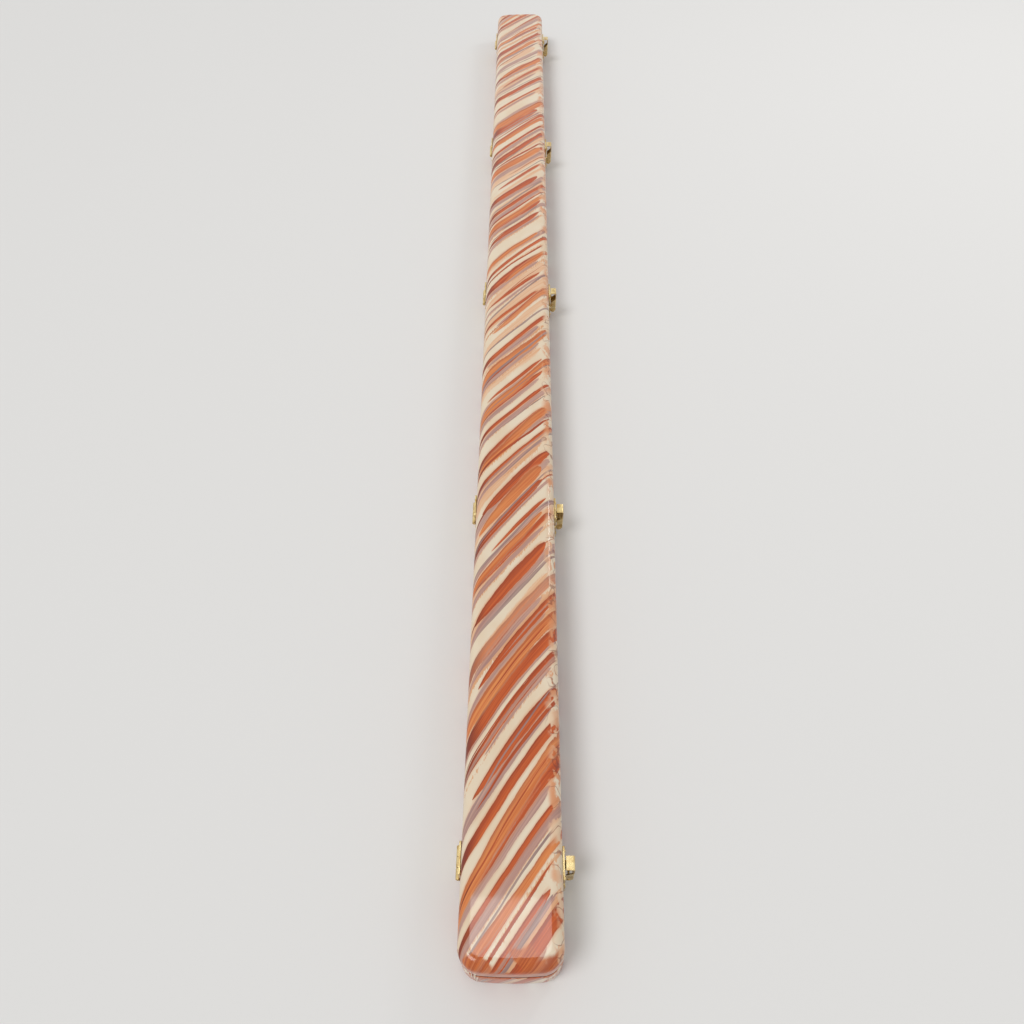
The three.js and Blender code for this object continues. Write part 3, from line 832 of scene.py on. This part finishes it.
def hinge(number):
    """A butt hinge: the lid's leaf with the middle knuckle, the base's leaf with the outer two, and the pin."""
    low, high = box_mm(f"hinge_{number}_lid_leaf")
    y = (low.y + high.y) / 2
    half = (high.y - low.y) / 2
    axis_x = low.x + KNUCKLE
    clear = KNUCKLE + LEAF_CLEARANCE
    web_in, web_out = -(HALF_WIDTH + PLATE_GAP), -PLATE_FACE
    for body, up, spans in (
        ("lid", 1, [(y - MIDDLE_KNUCKLE, y + MIDDLE_KNUCKLE)]),
        (
            "base",
            -1,
            [(y - half, y - MIDDLE_KNUCKLE - KNUCKLE_GAP), (y + MIDDLE_KNUCKLE + KNUCKLE_GAP, y + half)],
        ),
    ):
        bm = bmesh.new()
        leaf_low, leaf_high = sorted((SEAM + up * clear, SEAM + up * (clear + LEAF_DEPTH)))
        plate(bm, -1, y, leaf_low, leaf_high, half)
        nails(bm, -1, y, SEAM + up * (clear + LEAF_DEPTH / 2), half)
        web_low, web_high = sorted((SEAM + up * WEB_START, SEAM + up * (clear + WEB_OVERLAP)))
        web = [(web_out, web_low), (web_in, web_low), (web_in, web_high), (web_out, web_high)]
        for start, end in spans:
            tube(bm, axis_x, SEAM, KNUCKLE_BORE, KNUCKLE, start, end)
            prism(bm, web, start, end, along_y(), 0.1)
        add_object(f"hinge_{number}_{body}_leaf_brass", bm, brass, body, [f"hinge_{number}_{body}_leaf"])
    headed_pin(f"hinge_{number}_pin_brass", f"hinge_{number}_pin", "base")


LIP_GAP = 1.1  # from the plate's face to the back of the lever
LEVER_SHEET = 0.75  # thickness
LEVER_BOSS = 2.5  # radius of the cheeks round the pin
LEVER_TAPER = 0.8  # the foot lies this far behind the front
HOOK_RADIUS = 1.4
LEVER_FOLD = 0.7  # radius of the fold between strap and cheeks
CHEEK_BACK = SEAM - 2.9  # heights of the cheeks' sloping upper edge
CHEEK_FRONT = SEAM + 2.3
CHEEK_FRONT_INSET = 0.245

CREST_HALF, CREST_DEPTH = 3.5, 2.1
CREST_FOOT, CREST_RIDGE, CREST_TOP = 1.5, 3.0, 8.3  # heights above the keeper's foot
EAR, EAR_RADIUS, EAR_INSET = 0.8, 2.0, 1.6
ROOT = 0.5  # crest and ears start this far below the plate's face
PLATE_NAIL_HEIGHT = 4.5


def lever_shell(bm, low, high, pivot_x, pivot_z):
    """A folded strap with two cheeks. The cheeks reach from the pin to a sloping edge, and above it only the
    strap's front and its hooked top are left."""
    top, front = high.z, high.x
    foot_x, lip_x = front - LEVER_TAPER, PLATE_FACE + LIP_GAP
    hook = arc((front - HOOK_RADIUS, top - HOOK_RADIUS), HOOK_RADIUS, 0, 90, 5)
    front_line = [(foot_x, pivot_z), (front - CHEEK_FRONT_INSET, CHEEK_FRONT)] + hook + [(lip_x, top)]
    back_line = [(lip_x, CHEEK_BACK), (lip_x, pivot_z + 2 * LEVER_BOSS)]
    back_line += arc((pivot_x, pivot_z), LEVER_BOSS, 180, 360, 12)
    part = bmesh.new()
    straps = []
    for y in (low.y, high.y):
        strap = [part.verts.new((x, y, z)) for x, z in front_line]
        straps.append(strap)
        part.faces.new(strap[:2] + [part.verts.new((x, y, z)) for x, z in back_line])
    a, b = straps
    for i in range(len(front_line) - 1):
        part.faces.new((a[i], a[i + 1], b[i + 1], b[i]))
    bmesh.ops.recalc_face_normals(part, faces=part.faces)
    corner = [e for e in part.edges if len(e.link_faces) == 2 and e.calc_face_angle(0) > math.radians(50)]
    bmesh.ops.bevel(
        part, geom=corner, offset=LEVER_FOLD, segments=4, profile=0.5, affect="EDGES", clamp_overlap=True
    )
    merge(bm, part)


def latch(number):
    """A snap latch: the keeper on the lid, the plate with two ears on the base, the lever and its pin."""
    keeper_low, keeper_high = box_mm(f"latch_{number}_keeper")
    plate_low, plate_high = box_mm(f"latch_{number}_plate")
    lever_low, lever_high = box_mm(f"latch_{number}_lever")
    pin_low, pin_high = box_mm(f"latch_{number}_pin")
    y = (plate_low.y + plate_high.y) / 2
    half = (plate_high.y - plate_low.y) / 2
    root = PLATE_FACE - ROOT
    pivot_x, pivot_z = (pin_low.x + pin_high.x) / 2, (pin_low.z + pin_high.z) / 2

    bm = bmesh.new()
    plate(bm, 1, y, keeper_low.z, keeper_high.z, half)
    nails(bm, 1, y, (keeper_low.z + keeper_high.z) / 2, half)
    foot = keeper_low.z
    crest = [
        (root, foot + CREST_FOOT),
        (PLATE_FACE, foot + CREST_FOOT),
        (PLATE_FACE + CREST_DEPTH, foot + CREST_RIDGE),
        (PLATE_FACE, foot + CREST_TOP),
        (root, foot + CREST_TOP),
    ]
    prism(bm, crest, y - CREST_HALF, y + CREST_HALF, along_y(), 0.18)
    add_object(f"latch_{number}_keeper_brass", bm, brass, "lid", [f"latch_{number}_keeper"])

    bm = bmesh.new()
    plate(bm, 1, y, plate_low.z, plate_high.z, half)
    nails(bm, 1, y, plate_low.z + PLATE_NAIL_HEIGHT, half)
    ear = [(root, pivot_z - EAR_RADIUS)] + arc((pivot_x, pivot_z), EAR_RADIUS, -90, 90, 12)
    ear.append((root, pivot_z + EAR_RADIUS))
    for side in (-1, 1):
        at = y + side * ((lever_high.y - lever_low.y) / 2 - EAR_INSET)
        prism(bm, ear, at - EAR / 2, at + EAR / 2, along_y(), 0.12)
    add_object(f"latch_{number}_plate_brass", bm, brass, "base", [f"latch_{number}_plate"])

    bm = bmesh.new()
    lever_shell(bm, lever_low, lever_high, pivot_x, pivot_z)
    piece = add_object(
        f"latch_{number}_lever_brass", bm, brass, f"latch_{number}", [f"latch_{number}_lever"], weighted=False
    )
    sheet = piece.modifiers.new("sheet", "SOLIDIFY")
    sheet.thickness = LEVER_SHEET * MM
    sheet.offset = -1
    sheet.use_even_offset = True
    rim = piece.modifiers.new("rim", "BEVEL")
    rim.width = 0.14 * MM
    rim.segments = 2
    rim.limit_method = "ANGLE"
    rim.angle_limit = math.radians(50)
    normals = piece.modifiers.new("weighted_normals", "WEIGHTED_NORMAL")
    normals.keep_sharp = True
    headed_pin(f"latch_{number}_pin_brass", f"latch_{number}_pin", "base")


for number in fittings:
    hinge(number)
    latch(number)

# ------------------------------------------------------------------ floor, light and camera


def make_floor():
    mesh = bpy.data.meshes.new("floor")
    reach = 12.0  # metres to each side
    corners = [(-reach, -reach, 0), (reach, -reach, 0), (reach, reach, 0), (-reach, reach, 0)]
    mesh.from_pydata(corners, [], [(0, 1, 2, 3)])
    floor = bpy.data.objects.new("floor", mesh)
    bpy.context.scene.collection.objects.link(floor)
    g = Graph("floor_paper")
    mesh.materials.append(g.finish(Base_Color=colour("#E4E3E1"), Roughness=0.9, Specular_IOR_Level=0.1))
    floor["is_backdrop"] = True


def add_light(kind, name, location, target, energy, **settings):
    data = bpy.data.lights.new(name, kind)
    data.energy = energy
    for key, value in settings.items():
        setattr(data, key, value)
    light = bpy.data.objects.new(name, data)
    bpy.context.scene.collection.objects.link(light)
    light.location = location
    light.rotation_euler = (Vector(target) - Vector(location)).to_track_quat("-Z", "Y").to_euler()


make_floor()
world = bpy.data.worlds.new("studio")
bpy.context.scene.world = world
world.use_nodes = True
background = world.node_tree.nodes["Background"]
background.inputs["Color"].default_value = (1.0, 1.0, 1.0, 1)
WORLD_LIGHT = 0.55  # what the object is lit by; the background itself is seen at 1


def white_backdrop():
    """The world is seen, reflected and refracted at strength 1, and lights at WORLD_LIGHT."""
    nodes, links = world.node_tree.nodes, world.node_tree.links
    path = nodes.new("ShaderNodeLightPath")
    seen = None
    for name in ("Is Camera Ray", "Is Glossy Ray", "Is Transmission Ray"):
        socket = path.outputs[name]
        if seen is None:
            seen = socket
            continue
        joined = nodes.new("ShaderNodeMath")
        joined.operation = "MAXIMUM"
        links.new(seen, joined.inputs[0])
        links.new(socket, joined.inputs[1])
        seen = joined.outputs[0]
    strength = nodes.new("ShaderNodeMapRange")
    strength.inputs["To Min"].default_value = WORLD_LIGHT
    strength.inputs["To Max"].default_value = 1.0
    links.new(seen, strength.inputs["Value"])
    links.new(strength.outputs[0], background.inputs["Strength"])


white_backdrop()

add_light("SUN", "key", (-1.2, -0.8, 2.6), (0, 0, 0), 1.25, angle=math.radians(25))
add_light("AREA", "edge_strip", (1.1, 0.75, 1.2), (0.04, -0.25, 0.05), 2.6, shape="RECTANGLE", size=0.12, size_y=0.5)
add_light(
    "AREA", "window", (-0.065, -0.2935, 2.2), (-0.065, -0.2935, 0.0), 0.95, shape="RECTANGLE", size=0.29, size_y=0.18
)

CAMERA_PLACE = (0.02081, -0.87248, 0.72635)
CAMERA_PITCH, CAMERA_YAW, CAMERA_ROLL = (math.radians(v) for v in (52.549, -2.616, -2.570))


def make_camera():
    pitch, yaw, roll = CAMERA_PITCH, CAMERA_YAW, CAMERA_ROLL
    forward = Vector((math.sin(yaw) * math.cos(pitch), math.cos(yaw) * math.cos(pitch), -math.sin(pitch)))
    right = Vector((math.cos(yaw), -math.sin(yaw), 0))
    up = right.cross(forward)
    right, up = (
        right * math.cos(roll) + up * math.sin(roll),
        up * math.cos(roll) - right * math.sin(roll),
    )
    data = bpy.data.cameras.new("camera")
    data.lens = 30.29
    data.sensor_width = 36.0
    data.clip_start, data.clip_end = 0.01, 50
    camera = bpy.data.objects.new("camera", data)
    bpy.context.scene.collection.objects.link(camera)
    turn = Matrix((right, up, -forward)).transposed()
    camera.matrix_world = Matrix.Translation(CAMERA_PLACE) @ turn.to_4x4()
    bpy.context.scene.camera = camera


make_camera()
bpy.context.scene.view_settings.view_transform = "Standard"

low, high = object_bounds()
